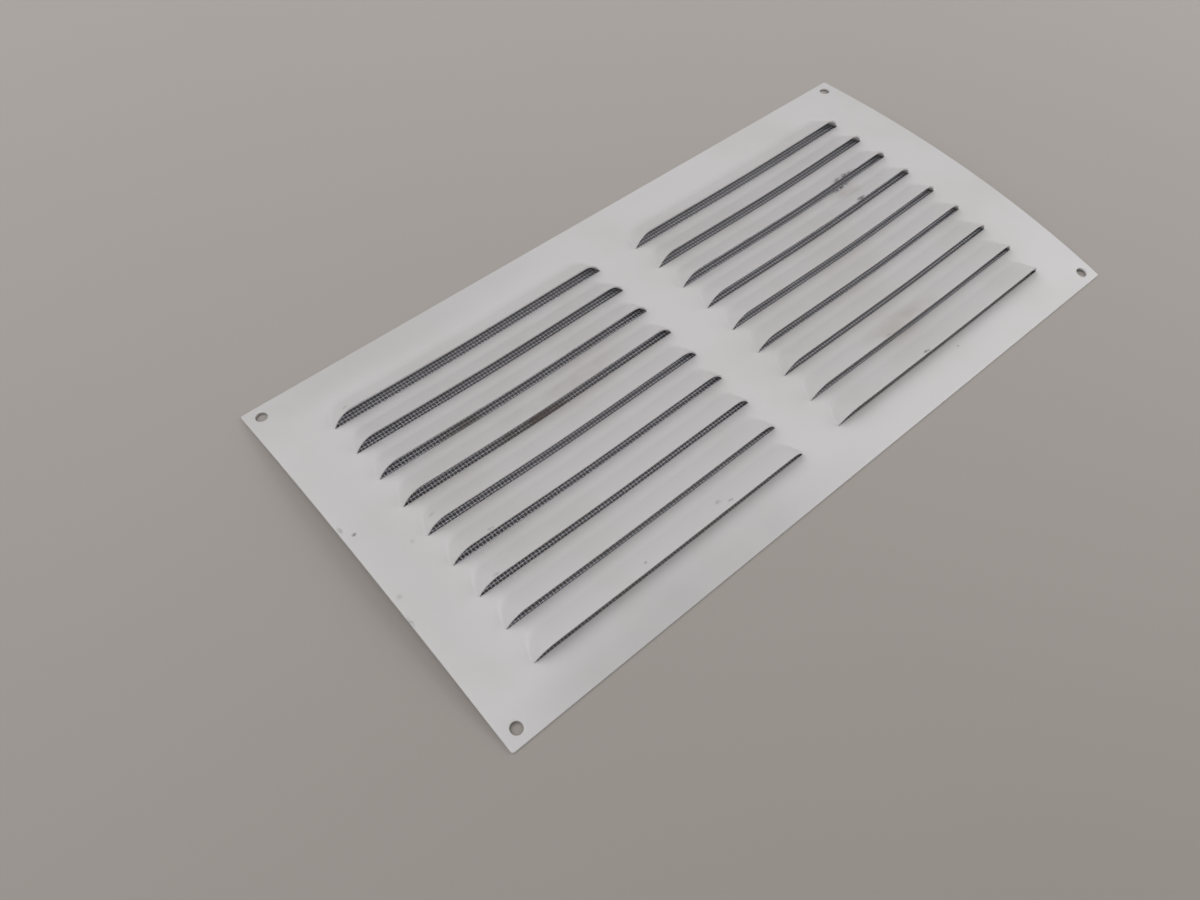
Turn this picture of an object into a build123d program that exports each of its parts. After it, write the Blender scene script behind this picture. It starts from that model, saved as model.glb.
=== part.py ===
"""Pressed louvre ventilation grille: a bowed sheet-metal face plate with an insect screen on its back."""

from build123d import *

import os
from math import hypot, sqrt

# Face plate, in millimetres. It lies on its two long edges and arches between them.
# Its corners are just clipped.
plate_length = 300.0
plate_width = 150.0
sheet = 0.8
corner_clip = 0.8
bow_rise = 4.6

# Screw holes, one in each corner.
screw_hole_diameter = 4.2
screw_inset_x = 5.5
screw_inset_y = 5.0

# Louvres: two columns of pressed hoods, each open at its lip, on the side of -Y.
louvre_columns = 2
louvre_rows = 9
louvre_pitch = 13.4
louvre_length = 119.3
louvre_bridge = 18.5
slit_width = 0.15

# One hood: a flat ramp from its root up to the lip, with rounded shoulders that run down to its ends.
hood_depth = 9.3
hood_height = 6.0
hood_end = 8.0

# Insect screen, bonded to the back of the sheet around the louvres.
screen_thickness = 0.5
screen_border = 4.0
screen_strand = 1.6
screen_gaps_per_louvre = 6
ridge_radius = 0.45
bond_film = 0.1

# The bow is a circular arc, with the underside of the sheet at z = 0 along the long edges.
half_width = plate_width / 2
under_radius = (half_width**2 + bow_rise**2) / (2 * bow_rise)
face_radius = under_radius + sheet
bow_centre_z = bow_rise - under_radius
crown_z = bow_rise + sheet

# The field of louvres is centred on the plate, from the last slit to the first hood's root.
field_length = louvre_columns * louvre_length + (louvre_columns - 1) * louvre_bridge
field_width = (louvre_rows - 1) * louvre_pitch + hood_depth
column_pitch = louvre_length + louvre_bridge
first_slit_y = field_width / 2 - hood_depth

# The hood's section across its ramp. Each shoulder meets the sheet at hood_end from where its arc begins.
ramp_length = hypot(hood_depth, hood_height)
ramp_drop = hood_height * hood_depth / ramp_length
shoulder_radius = (hood_end**2 + ramp_drop**2) / (2 * ramp_drop)
half_straight = louvre_length / 2 - hood_end
ramp_plane = Plane(origin=(0, hood_depth, 0), x_dir=(1, 0, 0), z_dir=(0, -hood_depth, hood_height))


def arc_z(radius, y):
    """Height at y of the arc with this radius about the bow's centre."""
    return bow_centre_z + sqrt(radius**2 - y**2)


def bowed_band(outer_radius, thickness, half_span):
    """Section of a bowed sheet, between two arcs and two upright ends."""
    inner_radius = outer_radius - thickness
    with BuildSketch(Plane.YZ) as band:
        with BuildLine():
            top = ThreePointArc(
                (-half_span, arc_z(outer_radius, half_span)),
                (0, arc_z(outer_radius, 0)),
                (half_span, arc_z(outer_radius, half_span)),
            )
            bottom = ThreePointArc(
                (-half_span, arc_z(inner_radius, half_span)),
                (0, arc_z(inner_radius, 0)),
                (half_span, arc_z(inner_radius, half_span)),
            )
            Line(top @ 0, bottom @ 0)
            Line(top @ 1, bottom @ 1)
        make_face()
    return band.sketch


def louvre_planes():
    """Planes on the face of the bowed sheet, at the middle of each slit, with z along the sheet's normal."""
    planes = []
    for row in range(louvre_rows):
        slit_y = first_slit_y - row * louvre_pitch
        for column in range(louvre_columns):
            slit_x = (column - (louvre_columns - 1) / 2) * column_pitch
            slit_z = arc_z(face_radius, slit_y)
            normal = (0, slit_y, slit_z - bow_centre_z)
            planes.append(Plane(origin=(slit_x, slit_y, slit_z), x_dir=(1, 0, 0), z_dir=normal))
    return planes


# One hood as a solid form: a bar along the ramp, cut off at the slit and in the middle of the sheet.
with BuildPart() as hood:
    with BuildSketch(ramp_plane):
        with BuildLine():
            right = CenterArc(
                (half_straight, -shoulder_radius), shoulder_radius, start_angle=90, arc_size=-90
            )
            left = CenterArc(
                (-half_straight, -shoulder_radius), shoulder_radius, start_angle=90, arc_size=90
            )
            Line(left @ 0, right @ 0)
            Line(left @ 1, right @ 1)
        make_face()
    extrude(amount=2 * ramp_length, both=True)
    split(bisect_by=Plane.ZX, keep=Keep.TOP)
    split(bisect_by=Plane.XY.offset(-sheet / 2), keep=Keep.TOP)

# The bowed face plate. The same form, one sheet lower, opens each hood and its slit.
with BuildPart() as louvre_plate:
    extrude(bowed_band(face_radius, sheet, half_width), amount=plate_length / 2, both=True)
    chamfer(edges().filter_by(Axis.Z), corner_clip)
    with Locations(*louvre_planes()):
        add(hood.part)
    with Locations(*louvre_planes()):
        with Locations((0, -slit_width, -sheet)):
            add(hood.part, mode=Mode.SUBTRACT)
    with Locations((0, 0, crown_z)):
        with GridLocations(plate_length - 2 * screw_inset_x, plate_width - 2 * screw_inset_y, 2, 2):
            Hole(screw_hole_diameter / 2)

# The insect screen follows the underside of the plate, with a round ridge along each of its long strands.
gap_pitch = louvre_length / screen_gaps_per_louvre
screen_back_radius = under_radius - bond_film - screen_thickness
with BuildPart() as insect_screen:
    screen_section = bowed_band(under_radius - bond_film, screen_thickness, field_width / 2 + screen_border)
    extrude(screen_section, amount=field_length / 2 + screen_border, both=True)
    with BuildSketch(Plane.XY):
        with GridLocations(column_pitch, louvre_pitch, louvre_columns, louvre_rows):
            with GridLocations(gap_pitch, 0, screen_gaps_per_louvre, 1):
                Rectangle(gap_pitch - screen_strand, louvre_pitch - screen_strand)
    extrude(amount=bow_rise, mode=Mode.SUBTRACT)
    with BuildSketch(Plane.YZ):
        for strand in range(louvre_rows + 1):
            strand_y = (strand - louvre_rows / 2) * louvre_pitch
            with Locations((strand_y, arc_z(screen_back_radius, strand_y))):
                Circle(ridge_radius)
    extrude(amount=field_length / 2 + screen_border, both=True)

louvre_plate.part.label = "louvre_plate"
insect_screen.part.label = "insect_screen"

os.makedirs("parts", exist_ok=True)
export_step(louvre_plate.part, "parts/louvre_plate.step")
export_step(insect_screen.part, "parts/insect_screen.step")
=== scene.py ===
"""Looks of the pressed louvre grille: warped white sheet, woven screen, floor, light and camera."""

import math

import bpy
import numpy as np
from mathutils import Matrix, Vector


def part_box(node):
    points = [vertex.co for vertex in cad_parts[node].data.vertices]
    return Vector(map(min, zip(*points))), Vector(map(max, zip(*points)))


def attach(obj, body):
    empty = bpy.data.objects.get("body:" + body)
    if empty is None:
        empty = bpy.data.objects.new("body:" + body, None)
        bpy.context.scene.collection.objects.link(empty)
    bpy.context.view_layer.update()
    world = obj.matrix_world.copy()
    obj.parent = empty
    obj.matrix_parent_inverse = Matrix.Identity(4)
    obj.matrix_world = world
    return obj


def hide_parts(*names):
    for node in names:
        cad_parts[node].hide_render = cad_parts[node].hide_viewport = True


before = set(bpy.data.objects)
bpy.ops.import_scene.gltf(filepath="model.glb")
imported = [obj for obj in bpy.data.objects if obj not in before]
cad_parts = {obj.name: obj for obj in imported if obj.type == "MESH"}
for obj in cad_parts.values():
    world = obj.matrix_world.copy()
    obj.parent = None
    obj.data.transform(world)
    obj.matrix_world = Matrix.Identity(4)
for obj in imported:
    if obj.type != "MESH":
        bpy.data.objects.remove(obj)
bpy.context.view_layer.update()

MM = 0.001

# The sheet, in millimetres. Its length and width come from the frame.
_, plate_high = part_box("louvre_plate")
half_length = plate_high.x / MM
half_width = plate_high.y / MM
sheet = 0.8
edge_round = 0.22
corner_round = 0.8
sheet_sharp_degrees = 40

# Screw holes. Each sits in a square block of the sheet's grid, with an even collar around it.
hole_radius = 2.1
hole_x = half_length - 5.5
hole_y = half_width - 5.0
hole_block = 4.0
hole_collar = 1.0

# Louvres. A slit closes over its taper at each tip.
# A hood's slope bends over the height lip_bend at its lip and root_bend at its root.
louvre_rows = 9
louvre_pitch = 13.4
louvre_length = 119.3
louvre_bridge = 18.5
slit_width = 0.15
slit_taper = 1.0
hood_depth = 9.3
hood_height = 6.0
hood_end = 8.0
lip_bend = 0.4
root_bend = 3.2

# Steps of the sheet's grid over each stretch, and how near two of its lines count as one.
edge_steps = 3
rim_steps = 2
hole_steps = 8
margin_steps = 6
hood_end_steps = 18
hood_middle_steps = 20
bridge_steps = 5
front_steps = 3
ramp_steps = 6
bend_steps = 9
land_steps = 2
back_steps = 2
same_place = 1e-6

# The hoods lean outwards: an even tilt across the plate, and one that grows close to its long edges.
lean_even = 0.033
lean_edge = 0.32
lean_power = 5

# The warp: rise of the crown over the long edges, at the short ends, amid each column and at the bridge.
rise_left_end = 4.9
rise_right_end = 5.6
rise_column = 2.2
rise_bridge = 3.3
column_skew = 0.10

# The woven screen.
mesh_pitch = 1.4
wire_radius = 0.15
wire_half_width = 0.19
wire_sides = 4
wire_sharp_degrees = 100
screen_border = 4.0
bond_film = 0.1

# Dark marks on the lacquer: x, y, reach along x and along y, and how far each hides the white.
# A mark is whole over its core, a share of its reach, and fades from there.
mark_core = 0.2
dark_marks = [
    (99.8, 22.4, 8.5, 2.3, 1.00),
    (96.7, 9.4, 3.2, 1.5, 1.00),
    (57.0, -58.0, 2.2, 1.0, 0.80),
    (51.0, -44.3, 2.2, 1.0, 0.40),
    (-146.3, 9.9, 1.2, 1.0, 0.75),
    (-113.0, -17.2, 2.0, 1.0, 0.45),
    (-81.3, -55.9, 1.0, 0.8, 0.50),
    (73.6, -62.2, 0.9, 0.7, 0.55),
    (-47.6, -54.4, 2.0, 1.4, 0.30),
    (-44.4, -56.9, 1.6, 1.0, 0.35),
    (-149.0, 13.8, 1.0, 2.2, 0.45),
    (-149.5, -25.3, 0.8, 2.6, 0.40),
    (-133.2, -3.3, 1.2, 1.0, 0.25),
    (-147.6, -16.4, 1.6, 1.2, 0.25),
    (-121.2, -30.7, 2.0, 1.0, 0.30),
    (-121.9, 52.0, 1.6, 1.0, 0.30),
]

# Brownish stains on the lacquer, in the same way.
brown_stains = [
    (61.0, -42.0, 26.0, 6.5, 0.60),
    (99.0, 17.0, 10.0, 4.5, 0.60),
    (-58.0, 12.0, 34.0, 12.0, 0.40),
    (-123.5, -0.2, 1.8, 1.2, 0.50),
]

# Painted shade on the margins, darker over the left half of the plate, in the same way.
painted_shade_margins = [
    (-75.0, -72.0, 100.0, 16.0, 0.52),
    (-85.0, 72.0, 95.0, 16.0, 0.30),
    (-142.0, -5.0, 16.0, 75.0, 0.16),
]

# Brownish stains on the screen, in the same way.
screen_stains = [
    (-96.0, 22.5, 16.0, 6.0, 0.70),
    (-72.0, 9.0, 26.0, 6.0, 0.90),
]

# Camera, in millimetres and pixels of the 1200 pixel wide picture.
camera_place = (-198.9, -143.1, 291.2)
camera_forward = (0.3938, 0.3771, -0.8383)
camera_right = (0.754, -0.6541, 0.06)
focal_pixels = 1008.0
picture_pixels = 1200.0
sensor_mm = 36.0
nearest_seen = 10.0

# Soft square lamps that face the grille: name, place and size in metres, and power in watts.
lamps = [
    ("left", (-1.67, 0.0, 1.99), 2.2, 14.0),
    ("back", (-0.92, 0.92, 2.25), 2.2, 21.0),
    ("right", (0.82, -0.38, 0.63), 0.9, 3.8),
]
world_white = (1.0, 1.0, 1.0, 1.0)
world_strength = 0.30

# The floor, in metres: its reach from the middle, and where along this direction its painted light turns
# from darker near to paler far.
floor_reach = 4.0
floor_light_direction = (0.37, 0.93, 0.0)
floor_turn = (-0.39, 0.47)
floor_waver = 0.06
floor_roughness = 0.6

column_centre = (louvre_length + louvre_bridge) / 2
first_slit = ((louvre_rows - 1) * louvre_pitch + hood_depth) / 2 - hood_depth
slits = [first_slit - row * louvre_pitch for row in range(louvre_rows)]
bend_reach = root_bend * hood_depth / hood_height
ramp_drop = hood_height * hood_depth / math.hypot(hood_depth, hood_height)
shoulder_radius = (hood_end**2 + ramp_drop**2) / (2 * ramp_drop)


def ease(share):
    """Smooth step from 0 to 1."""
    share = np.clip(share, 0.0, 1.0)
    return share * share * (3 - 2 * share)


def rise(x):
    """Height of the sheet's crown above its long edges, at x along the plate."""
    end = np.where(x < 0, rise_left_end, rise_right_end)
    outer = ease((np.abs(x) - column_centre) / (half_length - column_centre))
    inner = ease(1 - np.abs(x) / column_centre)
    return rise_column + (end - rise_column) * outer + (rise_bridge - rise_column) * inner


def under_z(x, y):
    """Underside of the warped sheet, away from its hoods."""
    across = y / half_width
    skew = 1 - column_skew * across * x / half_length
    return rise(x) * (1 - across**2) * skew


def soft_ramp(height, bend):
    """Nothing below zero, then a round bend into a straight rise."""
    bent = np.clip(height, 0.0, bend)
    return bent**2 / (2 * bend) + np.maximum(height - bend, 0.0)


def hood_rise(x, into):
    """Height of a hood over the sheet, at x and at a distance into it from its slit."""
    inside = louvre_length / 2 - np.abs(np.abs(x) - column_centre)
    shoulder = np.clip(hood_end - inside, 0.0, hood_end)
    fall = (shoulder_radius - np.sqrt(shoulder_radius**2 - shoulder**2)) / ramp_drop
    share = np.where(inside > 0, 1 - fall - into / hood_depth, -1.0)
    bend = lip_bend + (root_bend - lip_bend) * np.clip(into / hood_depth, 0.0, 1.0)
    return soft_ramp(hood_height * share + bend / 2, bend)


def lean(y):
    """How far a hood leans towards the nearer long edge, as a share of its height."""
    across = y / half_width
    return lean_even * across + lean_edge * across**lean_power


def spread(spans):
    """Grid lines through the ends of the spans (start, end, steps)."""
    values = [spans[0][0]]
    for start, end, steps in spans:
        values += [start + (end - start) * (step + 1) / steps for step in range(steps)]
    return np.array(values)


def plate_x_lines():
    """Grid lines across the plate's length, close together at the hoods' ends, the holes and the rim."""
    inner_tip = louvre_bridge / 2
    outer_tip = inner_tip + louvre_length
    half = spread([
        (0.0, inner_tip, bridge_steps),
        (inner_tip, inner_tip + hood_end, hood_end_steps),
        (inner_tip + hood_end, outer_tip - hood_end, hood_middle_steps),
        (outer_tip - hood_end, outer_tip, hood_end_steps),
        (outer_tip, hole_x - hole_block, margin_steps),
        (hole_x - hole_block, hole_x + hole_block, hole_steps),
        (hole_x + hole_block, half_length - edge_round, rim_steps),
        (half_length - edge_round, half_length, edge_steps),
    ])
    return np.concatenate([-half[:0:-1], half])


def plate_y_lines():
    """Grid lines across the plate's width. Each slit is one of them."""
    outer = [
        (hole_y - hole_block, hole_y + hole_block, hole_steps),
        (hole_y + hole_block, half_width - edge_round, 1),
        (half_width - edge_round, half_width, edge_steps),
    ]
    spans = [(-end, -start, steps) for start, end, steps in reversed(outer)]
    spans += [
        (hole_block - hole_y, slits[-1] - edge_round, front_steps),
        (slits[-1] - edge_round, slits[-1], edge_steps),
    ]
    for slit in reversed(slits):
        root = slit + hood_depth
        spans += [
            (slit, slit + edge_round, edge_steps),
            (slit + edge_round, root - bend_reach / 2, ramp_steps),
            (root - bend_reach / 2, root + bend_reach / 2, bend_steps),
        ]
        if slit != slits[0]:
            next_slit = slit + louvre_pitch
            spans += [
                (root + bend_reach / 2, next_slit - edge_round, land_steps),
                (next_slit - edge_round, next_slit, edge_steps),
            ]
    spans += [(slits[0] + hood_depth + bend_reach / 2, hole_y - hole_block, back_steps)]
    return spread(spans + outer)


def rounded(distance):
    """How far a rounded edge drops at a distance in from it."""
    inward = np.clip(edge_round - distance, 0.0, edge_round)
    return edge_round - np.sqrt(edge_round**2 - inward**2)


def round_corners(x, y):
    """Turns the square corners of a grid into round ones."""
    over_x = np.clip((np.abs(x) - half_length + corner_round) / corner_round, 0, 1)
    over_y = np.clip((np.abs(y) - half_width + corner_round) / corner_round, 0, 1)
    in_x = corner_round * over_x * (1 - np.sqrt(1 - over_y**2 / 2))
    in_y = corner_round * over_y * (1 - np.sqrt(1 - over_x**2 / 2))
    return x - np.sign(x) * in_x, y - np.sign(y) * in_y


class Sheet:
    """Gathers the face of the pressed sheet as points and quads, then gives it a thickness."""

    def __init__(self):
        self.points = []
        self.drops = []
        self.quads = []

    def add(self, x, y, hood, drop):
        """Adds one point of the face and gives its number."""
        self.points.append((x, y, hood))
        self.drops.append(drop)
        return len(self.points) - 1

    def closed(self):
        """Points and faces of face, back and walls along open edges, and each point's share of edge."""
        points = np.array(self.points)
        x, y, hood = points.T
        back = under_z(x, y) + hood
        y = y + hood * lean(y)
        face = back + sheet - np.array(self.drops)
        count = len(points)
        corners = np.concatenate([np.stack([x, y, face], 1), np.stack([x, y, back], 1)])
        quads = np.array(self.quads)
        starts = quads.ravel()
        ends = np.roll(quads, -1, axis=1).ravel()
        forward = starts.astype(np.int64) * count + ends
        backward = ends.astype(np.int64) * count + starts
        open_edge = ~np.isin(backward, forward)
        a, b = starts[open_edge], ends[open_edge]
        walls = np.stack([b, a, a + count, b + count], 1)
        faces = np.concatenate([quads, quads[:, ::-1] + count, walls])
        at_edge = np.tile(np.array(self.drops) / edge_round, 2)
        return corners, faces, at_edge


def rim_drop(x, y):
    """Drop of the face's rounded outer edge."""
    return np.maximum(rounded(half_length - abs(x)), rounded(half_width - abs(y)))


def in_louvre(x):
    """Whether x lies between the two tips of a column's slits."""
    return abs(abs(x) - column_centre) < louvre_length / 2 - same_place


def slit_half_gap(x):
    """Half the width of a slit, which closes at its tips."""
    inside = louvre_length / 2 - abs(abs(x) - column_centre)
    return slit_width / 2 * min(1.0, inside / slit_taper)


def face_points(made, x_lines, y_lines):
    """Adds the grid's points. Gives tables of their numbers for the quads below and above each line."""
    below = np.zeros((len(y_lines), len(x_lines)), int)
    above = np.zeros_like(below)
    for row, y in enumerate(y_lines):
        into = min((y - slit for slit in slits if slit <= y + same_place), default=louvre_pitch)
        past = min((slit - y for slit in slits if slit >= y - same_place), default=louvre_pitch)
        on_slit = into < same_place
        for column, x in enumerate(x_lines):
            px, py = round_corners(x, y)
            drop = float(rim_drop(x, y))
            if not in_louvre(x):
                hood = float(hood_rise(x, into))
                below[row, column] = above[row, column] = made.add(px, py, hood, drop)
            elif on_slit:
                gap = slit_half_gap(x)
                below[row, column] = made.add(px, py - gap, 0.0, edge_round)
                above[row, column] = made.add(px, py + gap, float(hood_rise(x, 0.0)), edge_round)
            else:
                drop = max(drop, float(rounded(into)), float(rounded(past)))
                hood = float(hood_rise(x, into))
                below[row, column] = above[row, column] = made.add(px, py, hood, drop)
    return below, above


def hole_ring(made, outline, centre_x, centre_y):
    """Joins a round hole to the square of points around it."""
    count = len(outline)
    square = np.array([made.points[number][:2] for number in outline])
    away = square - (centre_x, centre_y)
    circle = away / np.linalg.norm(away, axis=1)[:, None]
    rings = []
    for out in (0.0, edge_round / 3, edge_round, hole_collar):
        ring = (centre_x, centre_y) + circle * (hole_radius + out)
        drop = float(rounded(out))
        rings.append([made.add(x, y, 0.0, drop) for x, y in ring])
    rings.append(list(outline))
    for inner, outer in zip(rings, rings[1:]):
        for step in range(count):
            after = (step + 1) % count
            made.quads.append((inner[step], outer[step], outer[after], inner[after]))


def build_sheet():
    """Points and faces of the pressed sheet, in millimetres, and each point's share of edge."""
    made = Sheet()
    x_lines, y_lines = plate_x_lines(), plate_y_lines()
    below, above = face_points(made, x_lines, y_lines)
    centre_x = (x_lines[:-1] + x_lines[1:]) / 2
    centre_y = (y_lines[:-1] + y_lines[1:]) / 2
    in_x = np.abs(np.abs(centre_x) - hole_x) < hole_block
    in_y = np.abs(np.abs(centre_y) - hole_y) < hole_block
    for row in range(len(y_lines) - 1):
        for column in range(len(x_lines) - 1):
            if in_y[row] and in_x[column]:
                continue
            made.quads.append((
                above[row, column], above[row, column + 1],
                below[row + 1, column + 1], below[row + 1, column],
            ))
    for side_x in (-1, 1):
        first_x = int(np.argmin(np.abs(x_lines - side_x * hole_x + hole_block)))
        for side_y in (-1, 1):
            first_y = int(np.argmin(np.abs(y_lines - side_y * hole_y + hole_block)))
            block = below[first_y:first_y + hole_steps + 1, first_x:first_x + hole_steps + 1]
            outline = list(block[0, :-1]) + list(block[:-1, -1])
            outline += list(block[-1, :0:-1]) + list(block[:0:-1, 0])
            hole_ring(made, outline, side_x * hole_x, side_y * hole_y)
    return made.closed()


def mesh_piece(name, points, faces, share, material, sharp_angle):
    """A smooth mesh object from points in millimetres. Its material can read each point's share."""
    mesh = bpy.data.meshes.new(name)
    mesh.from_pydata((np.asarray(points) * MM).tolist(), [], np.asarray(faces).tolist())
    mesh.validate()
    mesh.shade_smooth()
    mesh.set_sharp_from_angle(angle=sharp_angle)
    mesh.materials.append(material)
    kept = mesh.attributes.new("share", "FLOAT", "POINT")
    kept.data.foreach_set("value", share.astype(float))
    piece = bpy.data.objects.new(name, mesh)
    bpy.context.scene.collection.objects.link(piece)
    return piece


def wire_set(along, across, heights, swap):
    """Points and faces of parallel wires, one at each value of across, with a ring at each of along."""
    wires, rings, sides = len(across), len(along), wire_sides
    line = np.stack(np.broadcast_arrays(along[None, :], across[:, None], heights), -1)
    if swap:
        line = line[..., [1, 0, 2]]
    sideways = np.array([1.0, 0.0, 0.0] if swap else [0.0, 1.0, 0.0])
    upward = np.array([0.0, 0.0, 1.0])
    turn = -1 if swap else 1
    angles = [turn * side * math.tau / sides for side in range(sides)]
    section = [
        wire_half_width * math.cos(angle) * sideways + wire_radius * math.sin(angle) * upward
        for angle in angles
    ]
    points = line[:, :, None, :] + np.array(section)[None, None]
    number = np.arange(wires * rings * sides).reshape(wires, rings, sides)
    here, there = number[:, :-1], number[:, 1:]
    tubes = np.stack([here, np.roll(here, -1, 2), np.roll(there, -1, 2), there], -1)
    caps = np.concatenate([number[:, 0, ::-1], number[:, -1]])
    faces = np.concatenate([tubes.reshape(-1, sides)[:, ::-1], caps[:, ::-1]])
    return points.reshape(-1, 3), faces


def build_screen():
    """Points and faces of the screen's wires along x and along y, woven over and under each other."""
    screen_half_x = louvre_bridge / 2 + louvre_length + screen_border
    screen_half_y = ((louvre_rows - 1) * louvre_pitch + hood_depth) / 2 + screen_border
    count_x = int(2 * screen_half_x / mesh_pitch)
    count_y = int(2 * screen_half_y / mesh_pitch)
    xs = (np.arange(count_x) - (count_x - 1) / 2) * mesh_pitch
    ys = (np.arange(count_y) - (count_y - 1) / 2) * mesh_pitch
    middle = under_z(xs[None, :], ys[:, None]) - bond_film - 2 * wire_radius
    odd = (np.arange(count_x)[None, :] + np.arange(count_y)[:, None]) % 2
    over = wire_radius * (2 * odd - 1)
    along_x = wire_set(xs, ys, middle + over, swap=False)
    along_y = wire_set(ys, xs, (middle - over).T, swap=True)
    crest_x = np.repeat(odd.ravel(), wire_sides)
    crest_y = np.repeat(1 - odd.T.ravel(), wire_sides)
    return (*along_x, crest_x), (*along_y, crest_y)


class Nodes:
    """Short ways to add and join the nodes of one material."""

    def __init__(self, name):
        self.material = bpy.data.materials.new(name)
        self.material.use_nodes = True
        self.tree = self.material.node_tree
        self.tree.nodes.clear()
        self.shader = self.add("ShaderNodeBsdfPrincipled")
        output = self.add("ShaderNodeOutputMaterial")
        self.link(self.shader.outputs["BSDF"], output.inputs["Surface"])
        self.place = self.add("ShaderNodeTexCoord").outputs["Object"]

    def add(self, kind, **settings):
        """A new node with these settings."""
        node = self.tree.nodes.new(kind)
        for name, value in settings.items():
            setattr(node, name, value)
        return node

    def link(self, source, target):
        """Joins an output to an input."""
        self.tree.links.new(source, target)

    def set(self, socket, value):
        """Joins a socket to another, or gives it a constant."""
        if isinstance(value, bpy.types.NodeSocket):
            self.link(value, socket)
        else:
            socket.default_value = value

    def noise(self, size, detail=3.0, roughness=0.55):
        """Noise with features of this size in millimetres."""
        node = self.add("ShaderNodeTexNoise")
        self.link(self.place, node.inputs["Vector"])
        node.inputs["Scale"].default_value = 1 / (size * MM)
        node.inputs["Detail"].default_value = detail
        node.inputs["Roughness"].default_value = roughness
        return node.outputs["Fac"]

    def math(self, operation, first, second):
        """Two values joined by an operation."""
        node = self.add("ShaderNodeMath", operation=operation)
        self.set(node.inputs[0], first)
        self.set(node.inputs[1], second)
        return node.outputs[0]

    def remap(self, value, low, high, to_low=0.0, to_high=1.0):
        """A clamped value, from one range to another."""
        node = self.add("ShaderNodeMapRange", interpolation_type="SMOOTHSTEP")
        ends = {"From Min": low, "From Max": high, "To Min": to_low, "To Max": to_high}
        for name, number in ends.items():
            node.inputs[name].default_value = number
        self.set(node.inputs["Value"], value)
        return node.outputs["Result"]

    def mix(self, share, first, second):
        """Two colours mixed by a share."""
        node = self.add("ShaderNodeMix", data_type="RGBA")
        # The node has sockets for each kind of value, and these are the ones for colours.
        self.set(node.inputs[0], share)
        self.set(node.inputs[6], first)
        self.set(node.inputs[7], second)
        return node.outputs[2]

    def spot(self, x, y, reach_x, reach_y, share):
        """A share at a place on the plate that falls to 0 at its reach, all in millimetres."""
        scale = Vector((1 / (reach_x * MM), 1 / (reach_y * MM), 0.0))
        away = self.add("ShaderNodeVectorMath", operation="MULTIPLY_ADD")
        self.link(self.place, away.inputs[0])
        away.inputs[1].default_value = scale
        away.inputs[2].default_value = (-x * MM * scale.x, -y * MM * scale.y, 0.0)
        length = self.add("ShaderNodeVectorMath", operation="LENGTH")
        self.link(away.outputs["Vector"], length.inputs[0])
        return self.remap(length.outputs["Value"], mark_core, 1.0, share, 0.0)

    def spots(self, marks, uneven):
        """The marks together, broken up by an uneven value."""
        together = self.spot(*marks[0])
        for mark in marks[1:]:
            together = self.math("MAXIMUM", together, self.spot(*mark))
        return self.math("MULTIPLY", together, uneven)

    def share(self):
        """The share that is kept at each point: of an edge on the sheet, of a crest on the wires."""
        node = self.add("ShaderNodeAttribute", attribute_name="share")
        return node.outputs["Fac"]

    def specks(self, size, reach, share):
        """Small dots, in a share of the cells of this size, each with this reach, in millimetres."""
        node = self.add("ShaderNodeTexVoronoi")
        self.link(self.place, node.inputs["Vector"])
        node.inputs["Scale"].default_value = 1 / (size * MM)
        near = self.remap(node.outputs["Distance"], speck_core * reach / size, reach / size, 1.0, 0.0)
        split = self.add("ShaderNodeSeparateColor")
        self.link(node.outputs["Color"], split.inputs["Color"])
        return self.math("MULTIPLY", near, self.math("LESS_THAN", split.outputs["Red"], share))

    def bump(self, height, strength, distance):
        """The normal of a surface with this height, at most a distance in millimetres."""
        node = self.add("ShaderNodeBump")
        node.inputs["Strength"].default_value = strength
        node.inputs["Distance"].default_value = distance * MM
        self.link(height, node.inputs["Height"])
        return node.outputs["Normal"]


# Colours of the lacquer and what lies on it, of the wires and of the floor.
white = (0.690, 0.672, 0.675, 1.0)
white_warm = (0.662, 0.640, 0.634, 1.0)
dirt = (0.100, 0.096, 0.094, 1.0)
brown = (0.480, 0.435, 0.400, 1.0)
# The grey that darkens the left margins is painted shade, not a colour of the lacquer.
margin_shade_grey = (0.440, 0.426, 0.425, 1.0)
bare_metal = (0.430, 0.430, 0.435, 1.0)
wire_grey = (0.525, 0.542, 0.610, 1.0)
wire_dusty = (0.450, 0.460, 0.515, 1.0)
# The pale colour on the crests of the weave is a painted highlight, where light would catch them.
wire_crest_highlight = (0.900, 0.925, 0.990, 1.0)
wire_brown = (0.330, 0.255, 0.220, 1.0)
# The floor's two tones are painted shade on the near side and painted light on the far side.
floor_near_shaded = (0.318, 0.286, 0.259, 1.0)
floor_far_lit = (0.530, 0.496, 0.468, 1.0)

# Sizes of the unevenness in the materials, in millimetres.
mottle_size = 45.0
stain_size = 12.0
margin_shade_size = 30.0
wear_size = 6.0
mark_size = 1.2
speck_cell = 14.0
speck_reach = 0.28
speck_core = 0.4
gloss_size = 20.0
peel_size = 1.6
peel_height = 0.05
wire_tone_size = 20.0
wire_stain_size = 10.0
wire_gloss_size = 4.0
wire_grain_size = 0.4
wire_grain_height = 0.03
floor_tone_size = 250.0

# How strongly it shows.
wear_strength = 0.7
specked_cells = 0.16
speck_strength = 0.6
peel_strength = 0.12
wire_grain_strength = 0.2


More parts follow.
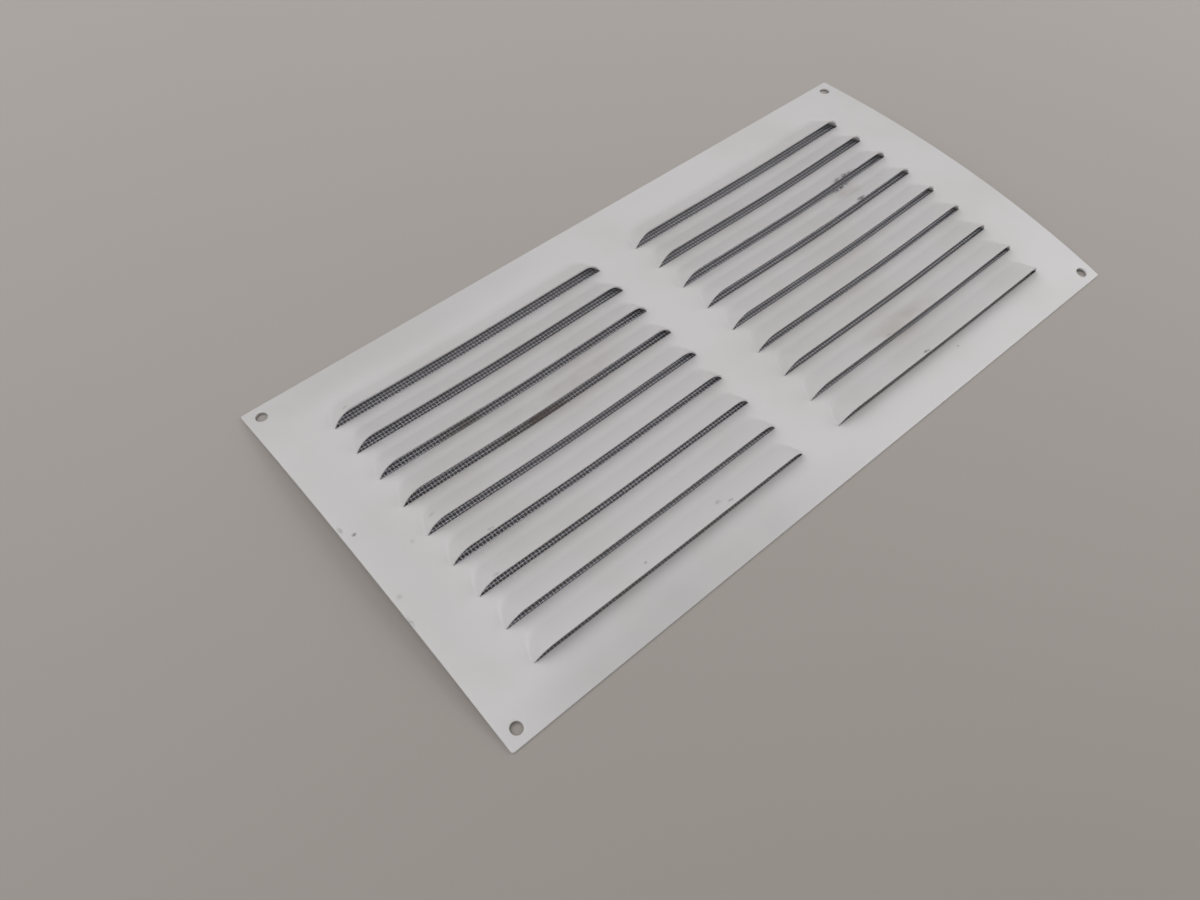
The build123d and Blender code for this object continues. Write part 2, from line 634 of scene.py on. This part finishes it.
def lacquer_material():
    """Satin white lacquer: mottling, stains, painted shade on the left margins, worn edges, specks, dark
    marks and orange peel.
    """
    n = Nodes("white_lacquer")
    mottled = n.remap(n.noise(mottle_size), 0.42, 0.72)
    stained = n.spots(brown_stains, n.remap(n.noise(stain_size), 0.25, 0.75))
    # Painted shade: the margins over the left half are darkened towards grey, broken up by noise.
    dust_and_painted_shade = n.spots(painted_shade_margins, n.remap(n.noise(margin_shade_size), 0.3, 0.7, 0.7, 1.0))
    worn = n.math("MULTIPLY", n.remap(n.noise(wear_size), 0.60, 0.72), n.share())
    specked = n.specks(speck_cell, speck_reach, specked_cells)
    marked = n.spots(dark_marks, n.remap(n.noise(mark_size), 0.35, 0.60))
    colour = n.mix(mottled, white, white_warm)
    colour = n.mix(stained, colour, brown)
    colour = n.mix(dust_and_painted_shade, colour, margin_shade_grey)
    colour = n.mix(n.math("MULTIPLY", worn, wear_strength), colour, bare_metal)
    colour = n.mix(n.math("MULTIPLY", specked, speck_strength), colour, dirt)
    colour = n.mix(marked, colour, dirt)
    n.link(colour, n.shader.inputs["Base Color"])
    n.link(n.remap(n.noise(gloss_size), 0.3, 0.7, 0.36, 0.46), n.shader.inputs["Roughness"])
    n.link(n.bump(n.noise(peel_size, 2.0), peel_strength, peel_height), n.shader.inputs["Normal"])
    return n.material


def wire_material():
    """Matt grey coated wire, a little dusty, with a painted highlight on its crests and stained in places.
    """
    n = Nodes("grey_mesh")
    dust_and_painted_shade = n.remap(n.noise(wire_tone_size), 0.35, 0.7)
    # Painted highlight on the crests of the weave.
    crest_highlight = n.remap(n.share(), 0.45, 0.90)
    stained = n.spots(screen_stains, n.remap(n.noise(wire_stain_size), 0.2, 0.6))
    colour = n.mix(dust_and_painted_shade, wire_grey, wire_dusty)
    colour = n.mix(crest_highlight, colour, wire_crest_highlight)
    colour = n.mix(stained, colour, wire_brown)
    n.link(colour, n.shader.inputs["Base Color"])
    n.link(n.remap(n.noise(wire_gloss_size), 0.3, 0.7, 0.5, 0.7), n.shader.inputs["Roughness"])
    grain = n.bump(n.noise(wire_grain_size), wire_grain_strength, wire_grain_height)
    n.link(grain, n.shader.inputs["Normal"])
    return n.material


def floor_material():
    """Plain pale warm grey, with painted light: darker on the near side and paler on the far side."""
    n = Nodes("floor")
    along = n.add("ShaderNodeVectorMath", operation="DOT_PRODUCT")
    n.link(n.place, along.inputs[0])
    along.inputs[1].default_value = floor_light_direction
    wavering = n.math("MULTIPLY", n.noise(floor_tone_size), floor_waver)
    # Painted light: the floor turns paler along this direction.
    painted_light = n.remap(n.math("ADD", along.outputs["Value"], wavering), *floor_turn)
    n.link(n.mix(painted_light, floor_near_shaded, floor_far_lit), n.shader.inputs["Base Color"])
    n.shader.inputs["Roughness"].default_value = floor_roughness
    return n.material


def make_floor():
    """A wide flat floor under the grille."""
    corners = [(x * floor_reach, y * floor_reach, 0.0) for x, y in ((-1, -1), (1, -1), (1, 1), (-1, 1))]
    mesh = bpy.data.meshes.new("floor")
    mesh.from_pydata(corners, [], [(0, 1, 2, 3)])
    mesh.materials.append(floor_material())
    floor = bpy.data.objects.new("floor", mesh)
    bpy.context.scene.collection.objects.link(floor)


def area_light(name, place, size, power):
    """A square soft white light that faces the grille."""
    data = bpy.data.lights.new(name, "AREA")
    data.size = size
    data.energy = power
    light = bpy.data.objects.new(name, data)
    light.location = place
    light.rotation_euler = (-Vector(place)).to_track_quat("-Z", "Y").to_euler()
    bpy.context.scene.collection.objects.link(light)


def make_light():
    """Even light all round, large soft lamps from the left and behind, and a closer one from the right."""
    world = bpy.data.worlds.new("studio")
    world.use_nodes = True
    background = world.node_tree.nodes["Background"]
    background.inputs["Color"].default_value = world_white
    background.inputs["Strength"].default_value = world_strength
    bpy.context.scene.world = world
    for lamp in lamps:
        area_light(*lamp)


def make_camera():
    """The camera, where the picture was taken from."""
    forward = Vector(camera_forward).normalized()
    right = Vector(camera_right)
    right = (right - forward * right.dot(forward)).normalized()
    up = right.cross(forward)
    turn = Matrix((right, up, -forward)).transposed()
    data = bpy.data.cameras.new("camera")
    data.sensor_fit = "HORIZONTAL"
    data.sensor_width = sensor_mm
    data.lens = focal_pixels / picture_pixels * sensor_mm
    data.clip_start = nearest_seen * MM
    camera = bpy.data.objects.new("camera", data)
    camera.matrix_world = Matrix.Translation(Vector(camera_place) * MM) @ turn.to_4x4()
    bpy.context.scene.collection.objects.link(camera)
    bpy.context.scene.camera = camera


points, faces, at_edge = build_sheet()
sheet_sharp = math.radians(sheet_sharp_degrees)
plate = mesh_piece("pressed_sheet", points, faces, at_edge, lacquer_material(), sheet_sharp)
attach(plate, "root")
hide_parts("louvre_plate")

grey = wire_material()
wire_sharp = math.radians(wire_sharp_degrees)
for name, (points, faces, crest) in zip(("screen_wires_x", "screen_wires_y"), build_screen()):
    wires = mesh_piece(name, points, faces, crest, grey, wire_sharp)
    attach(wires, "root")
    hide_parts("insect_screen")

make_floor()
make_light()
make_camera()
bpy.context.scene.view_settings.view_transform = "Standard"
